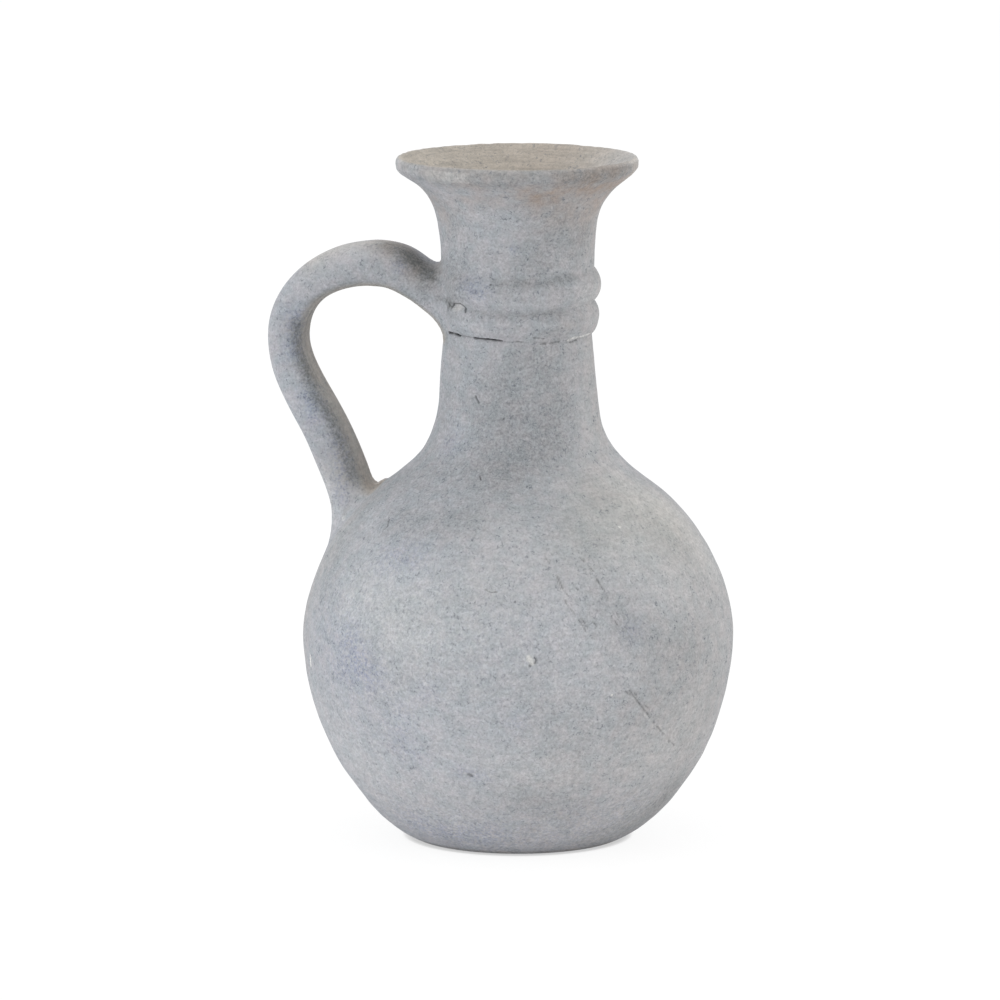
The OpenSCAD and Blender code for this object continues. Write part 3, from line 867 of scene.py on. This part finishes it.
def pull_handle(bm, lines):
    """Extrudes a ring along the strap's lines. Returns the edges of the first and last ring."""
    ring = bm.verts.layers.int["ring"]
    beige, warm, smoke, ash = (bm.verts.layers.float[name]
                               for name in ("beige", "warm", "smoke", "ash"))
    start = bmesh.ops.create_circle(bm, segments=len(lines), radius=MM)["verts"]
    start.sort(key=lambda v: atan2(v.co.y, v.co.x) % (2 * pi))
    edges = [bm.edges.get((start[k], start[(k + 1) % len(start)])) for k in range(len(start))]
    first, current = edges, start
    for i in range(len(lines[0])):
        if i:
            grown = bmesh.ops.extrude_edge_only(bm, edges=edges)["geom"]
            fresh = {e for e in grown if isinstance(e, bmesh.types.BMVert)}
            current = [next(e.other_vert(v) for e in v.link_edges if e.other_vert(v) in fresh)
                       for v in current]
            edges = [bm.edges.get((current[k], current[(k + 1) % len(current)]))
                     for k in range(len(current))]
        for k, vert in enumerate(current):
            vert.co = lines[k][i]
            vert[ring] = HANDLE_RING
            cosine = cos(2 * pi * k / len(lines))
            inner = smoothstep(0.5, 0.95, cosine)
            streak = max(0.0, noise.noise(Vector((0.8 * k, 0.06 * i, 0))))
            # The finger side's beige and warm tint is partly its slip and partly painted bounce
            # light; its streaky darkening is partly smoky grey and partly painted shade, and the
            # band by its edge (cosine near 0.62) is painted shade
            vert[beige], vert[warm], vert[ash] = 0.5 * inner, 0.35 * inner, 0.2 * inner
            vert[smoke] = (0.06 + 0.8 * streak) * inner + 0.16 * bell(cosine - 0.62, 0.14)
            vert[smoke] *= smoothstep(0, SEAT_FADE, len(lines[0]) - i)
    return first, edges


def shape_by_hand(bm, s, outline):
    """Wobble, faint throwing ridges and soft dents, so that the clay isn't machine-true."""
    ring = bm.verts.layers.int["ring"]
    bm.normal_update()
    moves = []
    for vert in bm.verts:
        co = vert.co
        move = s.wobble * noise.noise(co / WOBBLE_SIZE)
        move += TREMBLE_SHARE * s.wobble * noise.noise(co / TREMBLE_SIZE)
        if 0 <= vert[ring] < outline.lip_ring:
            around, up = RIDGE_SIZE
            move += s.ridges * noise.noise(Vector((co.x / around, co.y / around, co.z / up)))
        if abs(vert[ring] - outline.roll_ring) < LIP_RINGS:
            move += s.lip_wear * noise.noise(co / WEAR_SIZE)
        if vert[ring] == HANDLE_RING:
            for x, z, side, reach, depth in HANDLE_PUSHES:
                away = hypot(co.x / MM - x, co.z / MM - z)
                facing = vert.normal.dot(Vector((heading(side).x, 0, heading(side).y)))
                move += depth * MM * bell(away, reach) * smoothstep(0, 0.7, facing)
        if 0 < vert[ring] < outline.roll_ring + PUSHED_RINGS:
            for azimuth, height, around, up, depth in PUSHES:
                away = (turn_between(azimuth_of(co), azimuth) / around) ** 2
                away += ((co.z / MM - height) / up) ** 2
                if away < PUSH_END:
                    move += depth * MM * exp(-away)
        moves.append(move * smoothstep(0, STEADY, co.z))
    for vert, move in zip(bm.verts, moves):
        vert.co += vert.normal * move


class Trail:
    """A line that follows the plain wall, or runs straight from point to point in space."""

    def __init__(self, outline, points):
        self.on_wall = len(points[0]) == 2
        if self.on_wall:
            ends = [Vector((p[0], p[1] * MM)) for p in points]
            fine = [a.lerp(b, i / TRAIL_STEPS) for a, b in zip(ends, ends[1:])
                    for i in range(TRAIL_STEPS)]
            self.line = [outline.at(*p) for p in fine + ends[-1:]]
        else:
            self.line = [Vector(p) * MM for p in points]

    def distance(self, co):
        """Distance of a point from the line."""
        best = (co - self.line[0]).length
        for a, b in zip(self.line, self.line[1:]):
            along = b - a
            t = max(0.0, min(1.0, (co - a).dot(along) / along.length_squared))
            best = min(best, (co - a - t * along).length)
        return best


def level_with(heights, line, reach):
    """Indices of the sorted heights that are within reach of a line's."""
    return range(bisect_left(heights, min(p.z for p in line) - reach),
                 bisect_right(heights, max(p.z for p in line) + reach))


class Skin:
    """The outer skin's vertices in order of height, each with its place on the plain wall."""

    def __init__(self, bm, outline):
        ring = bm.verts.layers.int["ring"]
        outer = [v for v in bm.verts if v[ring] == HANDLE_RING or 0 < v[ring] < outline.lip_ring]
        self.verts = sorted(outer, key=lambda v: v.co.z)
        self.heights = [v.co.z for v in self.verts]
        self.places = [None if v[ring] == HANDLE_RING
                       else outline.at(azimuth_of(v.co), min(v.co.z, outline.heights[-1]))
                       for v in self.verts]

    def near(self, trail, reach):
        """Each vertex near a trail, with its distance."""
        for k in level_with(self.heights, trail.line, reach):
            co = self.places[k] if trail.on_wall else self.verts[k].co
            if co is not None:
                away = trail.distance(co)
                if away < reach:
                    yield self.verts[k], away


def refine_wall(bm, outline, trails):
    """Cuts the skin's faces finer along the marks."""
    ring = bm.verts.layers.int["ring"]
    groups = {(FINE_CUTS, WALL_RING): set(), (COLLAR_CUTS, WALL_RING): set(),
              (COLLAR_CUTS, HANDLE_RING): set()}
    outer = [f for f in bm.faces if all(v[ring] and v[ring] < outline.roll_ring for v in f.verts)]
    faces = sorted(outer, key=lambda f: f.calc_center_median().z)
    middles = [f.calc_center_median() for f in faces]
    heights = [m.z for m in middles]
    places = [outline.at(azimuth_of(m), m.z) for m in middles]
    for trail, width in trails:
        reach = CUT_REACH[0] * width + CUT_REACH[1]
        for k in level_with(heights, trail.line, reach):
            if trail.distance(places[k] if trail.on_wall else middles[k]) < reach:
                wall = all(v[ring] != HANDLE_RING for v in faces[k].verts)
                fine = wall and heights[k] < outline.shoulder.y + FINE_ABOVE
                group = FINE_CUTS if fine else COLLAR_CUTS, WALL_RING if wall else HANDLE_RING
                groups[group].add(faces[k])
    for (cuts, mark), chosen in groups.items():
        edges = list({e for f in chosen if f.is_valid for e in f.edges})
        made = bmesh.ops.subdivide_edges(bm, edges=edges, cuts=cuts, use_grid_fill=True)
        for item in made["geom_inner"]:
            if isinstance(item, bmesh.types.BMVert):
                item[ring] = mark


def cut_marks(bm, outline):
    """Cuts cracks, scratches, pits and chips into the wall, and notes what shows in them."""
    marks = [(kind, width, depth, Trail(outline, points)) for kind, rows in MARKS.items()
             for width, depth, *lines in rows for points in lines]
    refine_wall(bm, outline, [(trail, width * MM) for _, width, _, trail in marks])
    bm.normal_update()
    skin = Skin(bm, outline)
    layers = {name: bm.verts.layers.float[name] for name in LAYERS}
    depths = {}
    for kind, width, depth, trail in marks:
        for vert, away in skin.near(trail, MARK_REACH[0] * width * MM + MARK_REACH[1]):
            rough = RAGGED[0] * width * noise.noise(vert.co / RAGGED[1])
            wide = width * (1 + UNEVEN[0] * noise.noise(vert.co / UNEVEN[1]))
            ratio = (away / MM + rough) / wide
            kept = 1.0
            if kind in BROKEN:
                low = BROKEN[kind]
                kept = smoothstep(low, low + BREAK_SOFT, noise.noise(vert.co / BREAK_SIZE))
            if ratio < 1:
                cut = kept * depth * MM * (1 - max(ratio, 0.0) ** 2)
                depths[vert] = max(depths.get(vert, cut), cut)
            for name, amount in MARK_KINDS[kind].items():
                fresh = amount * kept * (1 - smoothstep(*MARK_FADE, ratio))
                vert[layers[name]] = max(vert[layers[name]], fresh)
    for vert, depth in depths.items():
        vert.co -= vert.normal * depth


def stain_skin(bm, outline):
    """Writes how much each stain shows at each point of the outer skin."""
    skin = Skin(bm, outline)
    for kind, rows in STAINS.items():
        layer = bm.verts.layers.float[kind]
        for strength, reach, points in rows:
            for vert, away in skin.near(Trail(outline, points), 2 * reach * MM):
                vert[layer] = 1 - (1 - vert[layer]) * (1 - strength * bell(away, reach * MM))


def build_clay(vessel, handle):
    """The vessel and its handle as one closed skin."""
    outline = Outline(vessel)
    strap = Strap(handle, outline)
    bm = bmesh.new()
    throw_body(bm, vessel, outline)
    lines = strap.lines()
    holes = [open_wall(bm, outline, [line[end] for line in lines], vessel.columns)
             for end in (0, -1)]
    ends = pull_handle(bm, lines)
    for hole, end in zip(holes, ends):
        bmesh.ops.bridge_loops(bm, edges=hole + list(end))
    bmesh.ops.recalc_face_normals(bm, faces=bm.faces)
    shape_by_hand(bm, vessel, outline)
    cut_marks(bm, outline)
    stain_skin(bm, outline)
    low, high = CAD_BOX
    for vert in bm.verts:
        vert.co = [max(low[i], min(high[i], vert.co[i])) for i in range(3)]
    return bm


def add_piece(name, bm, material):
    """Makes an object of a bmesh, at the origin, with smooth shading."""
    mesh = bpy.data.meshes.new(name)
    bm.to_mesh(mesh)
    bm.free()
    mesh.shade_smooth()
    mesh.materials.append(material)
    piece = bpy.data.objects.new(name, mesh)
    bpy.context.scene.collection.objects.link(piece)
    return piece


# Materials


def add_node(tree, kind, settings=None, **inputs):
    """Adds a node, sets its properties, and sets or links its inputs, named or numbered."""
    new = tree.nodes.new("ShaderNode" + kind)
    for name, value in (settings or {}).items():
        setattr(new, name, value)
    for name, value in inputs.items():
        number = name[1:]
        socket = new.inputs[int(number) if number.isdigit() else name.replace("_", " ")]
        if isinstance(value, bpy.types.NodeSocket):
            tree.links.new(value, socket)
        else:
            socket.default_value = value
    return new


# Ranges of a noise that hold most of its values, and nearly all
CORE = (0.35, 0.65)
MOST = (0.3, 0.7)
# Coats over the cool slip, one on another: colour, the layer that says where it lies (None for
# all over), and the patterns that break it up. Each has a range of the noise and what its two
# ends give, eases in and out where it is soft, and multiplies the coat unless it is added
COATS = (
    ("warm", None, (("mottle", *CORE, 0, 1),)),
    ("ash", "ash", (("veil", *CORE, 0, 0.12, "added"),)),
    ("beige", "beige", ()),
    ("smoke", "beige", (("rings", 0.42, 0.66, 0, 0.2, "soft"),)),
    ("smoke", "beige", (("fine", 0.52, 0.66, 0, 0.4, "soft"),)),
    ("body", "warm", (("mottle", *MOST, 0.5, 1.3),)),
    ("blue", "blue", (("speck", 0.4, 0.62, 0.2, 1.5, "soft"),)),
    # Smoky grey, and painted shade in creases, under the lip, round the handle and at the foot
    ("smoke", "smoke", (("grain", *MOST, 1.2, 0.8), ("fine", *CORE, 1.15, 0.85))),
    ("grit", None, (("speck", 0.6, 0.68, 0, 0.85, "soft"), ("mottle", *CORE, 1, 0.35))),
    # Chalky grains, chips and pits, and painted highlights on the lip, the handle's top and the
    # right shoulder
    ("chalk_and_highlight", "pale", (("grain", 0.35, 0.6, 0.7, 1, "soft"),)),
)
# How much each pattern darkens and lightens the whole
SHADES = (
    ("cloud", *MOST, 0.972, 1.032),
    ("mottle", *MOST, 0.945, 1.055),
    ("brush", *MOST, 0.94, 1.06),
    ("grain", *MOST, 0.9, 1.1),
    ("fine", *MOST, 0.89, 1.11),
)


def broken_up(tree, share, breaks, patterns):
    """A coat's share, or None for all of it, with each pattern in turn."""
    for name, low, high, least, most, *ways in breaks:
        step = "SMOOTHSTEP" if "soft" in ways else "LINEAR"
        part = add_node(tree, "MapRange", {"interpolation_type": step}, Value=patterns[name],
                        From_Min=low, From_Max=high, To_Min=least, To_Max=most).outputs[0]
        if share is None:
            share = part
        else:
            operation = "ADD" if "added" in ways else "MULTIPLY"
            share = add_node(tree, "Math", {"operation": operation}, _0=share, _1=part).outputs[0]
    return share


def fired_clay(c):
    """Fired clay under a dry, sandy slip. Sponging leaves it mottled, the brush leaves faint
    streaks, the kiln leaves bluish and smoky clouds, and warm clay shows where it is thin.
    The smoky grey also paints shade in creases, under the lip, round the handle and at the
    foot, the chalky near-white paints highlights on the lip, the handle and the shoulder, and
    the crack colour paints the shade inside cracks."""
    material = bpy.data.materials.new("fired_clay_sandy_slip")
    material.use_nodes = True
    tree = material.node_tree
    tree.nodes.clear()

    # Size, seed, detail and twist of each pattern, and how far it is drawn out sideways. The
    # real grain is finer, and is drawn as coarse as it needs to show
    place = add_node(tree, "TexCoord").outputs["Object"]
    patterns = {}
    for name, size, seed, detail, twist, flat in (
            ("cloud", c.cloud_size, 3.1, 2, 0, 1),
            ("mottle", c.mottle_size, 7.7, 4, 0, 1),
            ("brush", c.brush_size, 11.3, 2, 0, 5),
            ("rings", 0.4 * c.brush_size, 4.4, 2, 0, 22),
            ("veil", c.brush_size, 31.3, 2, 0, 1),
            ("grain", c.grain_size, 5.9, 3, 0.6, 1),
            ("fine", 0.55 * c.grain_size, 17.1, 1, 0.5, 1),
            ("speck", c.grain_size, 23.5, 2, 1.2, 1)):
        turned = (0, 0, seed) if flat > 1 else (seed, 0.7, seed)
        scaled = add_node(tree, "Mapping", Vector=place, Location=(seed,) * 3,
                          Rotation=turned, Scale=(*[1 / (size * flat)] * 2, 1 / size))
        patterns[name] = add_node(tree, "TexNoise", Vector=scaled.outputs[0], Scale=1,
                                  Detail=detail, Distortion=twist).outputs["Fac"]
    layers = {name: add_node(tree, "Attribute", {
        "attribute_name": name, "attribute_type": "GEOMETRY"}).outputs["Fac"] for name in LAYERS}

    base = (*c.cool, 1)
    for name, where, breaks in COATS:
        share = broken_up(tree, layers.get(where), breaks, patterns)
        base = add_node(tree, "Mix", {"data_type": "RGBA"}, _0=share, _6=base,
                        _7=(*getattr(c, name), 1)).outputs[2]
    tone = add_node(tree, "VectorMath", {"operation": "SCALE"}, _0=base,
                    Scale=broken_up(tree, None, SHADES, patterns)).outputs[0]
    # The dark layer mixes in the crack colour: painted shade in cracks and hair lines, and dark
    # dots and marks
    colour_out = add_node(tree, "Mix", {"data_type": "RGBA"}, _0=layers["dark"],
                          _6=tone, _7=(*c.crack, 1)).outputs[2]

    relief = add_node(tree, "Math", {"operation": "ADD"}, _0=patterns["grain"],
                      _1=patterns["fine"])
    bump = add_node(tree, "Bump", Height=relief.outputs[0], Distance=GRAIN_RELIEF, Strength=1)
    shader = add_node(tree, "BsdfPrincipled", Base_Color=colour_out,
                      Roughness=0.9, IOR=1.5, Normal=bump.outputs[0])
    add_node(tree, "OutputMaterial", Surface=shader.outputs[0])
    return material


# Stage


WHITE = (1, 1, 1, 1)
# Width of the floor, in metres
FLOOR_SIZE = 6
# How much of the floor's white the camera sees as shaded and as plain, and the light that the
# floor gives back besides
FLOOR_SHADE = 0.16
FLOOR_WHITE = 0.89
FLOOR_GLOW = 0.12
# White of the painted contact shadow, a thin darker line where the foot meets the floor, and how
# far it reaches
CONTACT_WHITE = 0.55
CONTACT_REACH = 2 * MM
# Camera of the photograph: its distance from the axis, height and turn, and what it looks at
CAMERA_OUT = 2.4206
CAMERA_UP = 0.5066
CAMERA_TURN = 12
LOOK_UP = 0.112
LOOK_ASIDE = 5.9 * MM
LENS = 267.65
SENSOR = 36
# Name, size and place of each soft light
LIGHTS = (
    ("left", 1, (-1.5, -0.55, 0.55)),
    ("right", 1, (1.45, 0.1, 0.55)),
    ("top", 1.2, (0, -0.1, 1.7)),
)


def add_floor(settings):
    """The pale floor, which keeps the vase's shadow and looks nearly white."""
    bm = bmesh.new()
    bmesh.ops.create_grid(bm, x_segments=1, y_segments=1, size=FLOOR_SIZE / 2)
    material = bpy.data.materials.new("matt_studio_floor")
    material.use_nodes = True
    tree = material.node_tree
    tree.nodes.clear()
    path = add_node(tree, "LightPath")
    matt = add_node(tree, "BsdfDiffuse", Color=(*settings.floor, 1))
    low_glow = add_node(tree, "Emission", Color=WHITE, Strength=FLOOR_GLOW)
    lit = add_node(tree, "AddShader", _0=matt.outputs[0], _1=low_glow.outputs[0])
    faint = add_node(tree, "BsdfDiffuse", Color=(*[FLOOR_SHADE] * 3, 1))
    # Ambient occlusion dims the white that the camera sees near the foot: a painted contact shadow
    near = add_node(tree, "AmbientOcclusion", Distance=CONTACT_REACH)
    bright = add_node(tree, "MapRange", Value=near.outputs["AO"], From_Min=0.2,
                      From_Max=0.8, To_Min=CONTACT_WHITE, To_Max=FLOOR_WHITE)
    glow = add_node(tree, "Emission", Color=WHITE, Strength=bright.outputs[0])
    white = add_node(tree, "AddShader", _0=faint.outputs[0], _1=glow.outputs[0])
    seen = add_node(tree, "MixShader", _0=path.outputs["Is Camera Ray"],
                    _1=lit.outputs[0], _2=white.outputs[0])
    add_node(tree, "OutputMaterial", Surface=seen.outputs[0])
    floor = add_piece("studio_floor", bm, material)


def add_surround(settings):
    """White surroundings, dimmer as a light than as they look."""
    world = bpy.data.worlds.new("white_studio")
    bpy.context.scene.world = world
    world.use_nodes = True
    tree = world.node_tree
    tree.nodes.clear()
    path = add_node(tree, "LightPath")
    seen = add_node(tree, "Math", {"operation": "MAXIMUM"},
                    _0=path.outputs["Is Camera Ray"], _1=path.outputs["Is Glossy Ray"])
    light = add_node(tree, "Background", Color=WHITE, Strength=settings.sky)
    white = add_node(tree, "Background", Color=WHITE, Strength=1)
    both = add_node(tree, "MixShader", _0=seen.outputs[0],
                    _1=light.outputs[0], _2=white.outputs[0])
    add_node(tree, "OutputWorld", Surface=both.outputs[0])


def aimed(name, data, place, target):
    """An object at place that looks at target."""
    made = bpy.data.objects.new(name, data)
    made.location = place
    made.rotation_euler = (Vector(target) - Vector(place)).to_track_quat("-Z", "Y").to_euler()
    bpy.context.scene.collection.objects.link(made)
    return made


def add_lights(settings):
    """Three soft lights round the vase."""
    for name, size, place in LIGHTS:
        lamp = bpy.data.lights.new(name, "AREA")
        lamp.shape = "DISK"
        lamp.size = size
        lamp.energy = getattr(settings, name + "_power")
        aimed(name, lamp, place, (0, 0, LOOK_UP))


def add_camera(scene):
    """The camera at the photograph's angle."""
    turn = radians(CAMERA_TURN)
    right = Vector((cos(turn), sin(turn), 0))
    place = Vector((CAMERA_OUT * sin(turn), -CAMERA_OUT * cos(turn), CAMERA_UP))
    data = bpy.data.cameras.new("camera")
    data.lens = LENS
    data.sensor_width = SENSOR
    data.clip_end = 50
    scene.camera = aimed("camera", data, place, Vector((0, 0, LOOK_UP)) - LOOK_ASIDE * right)


# Operators and panel


class PITCHER_OT_clay(bpy.types.Operator):
    """Throw the vessel, pull its handle and join them"""
    bl_idname = "pitcher.clay"
    bl_label = "Pitcher"

    def execute(self, context):
        scene = context.scene
        bm = build_clay(scene.pitcher_vessel, scene.pitcher_handle)
        piece = add_piece("pitcher_clay", bm, fired_clay(scene.pitcher_colours))
        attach(piece, "root")
        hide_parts("pitcher")
        return {"FINISHED"}


class PITCHER_OT_stage(bpy.types.Operator):
    """Set the floor, the white surroundings, the lights and the camera"""
    bl_idname = "pitcher.stage"
    bl_label = "Stage"

    def execute(self, context):
        settings = context.scene.pitcher_stage
        add_floor(settings)
        add_surround(settings)
        add_lights(settings)
        add_camera(context.scene)
        context.scene.view_settings.view_transform = "Standard"
        return {"FINISHED"}


class PITCHER_PT_panel(bpy.types.Panel):
    """Sizes, colours and actions of the pitcher vase"""
    bl_idname = "PITCHER_PT_panel"
    bl_label = "Pitcher vase"
    bl_space_type = "VIEW_3D"
    bl_region_type = "UI"
    bl_category = "Pitcher"

    def draw(self, context):
        for name, key, _, operator in PARTS:
            box = self.layout.box()
            box.label(text=name)
            settings = getattr(context.scene, key)
            for setting in settings.bl_rna.properties.keys():
                if setting not in ("rna_type", "name"):
                    box.prop(settings, setting)
            if operator:
                box.operator(operator)


PARTS = (
    ("Vessel", "pitcher_vessel", VesselSizes, "pitcher.clay"),
    ("Handle", "pitcher_handle", HandleSizes, None),
    ("Clay", "pitcher_colours", ClayColours, None),
    ("Stage", "pitcher_stage", StageSettings, "pitcher.stage"),
)
CLASSES = (*[part[2] for part in PARTS], PITCHER_OT_clay, PITCHER_OT_stage, PITCHER_PT_panel)


def register():
    for cls in CLASSES:
        bpy.utils.register_class(cls)
    for _, key, group, _ in PARTS:
        setattr(bpy.types.Scene, key, PointerProperty(type=group))


def unregister():
    for _, key, _, _ in PARTS:
        delattr(bpy.types.Scene, key)
    for cls in reversed(CLASSES):
        bpy.utils.unregister_class(cls)


def main():
    register()
    bpy.ops.pitcher.clay()
    bpy.ops.pitcher.stage()


if __name__ == "__main__":
    main()
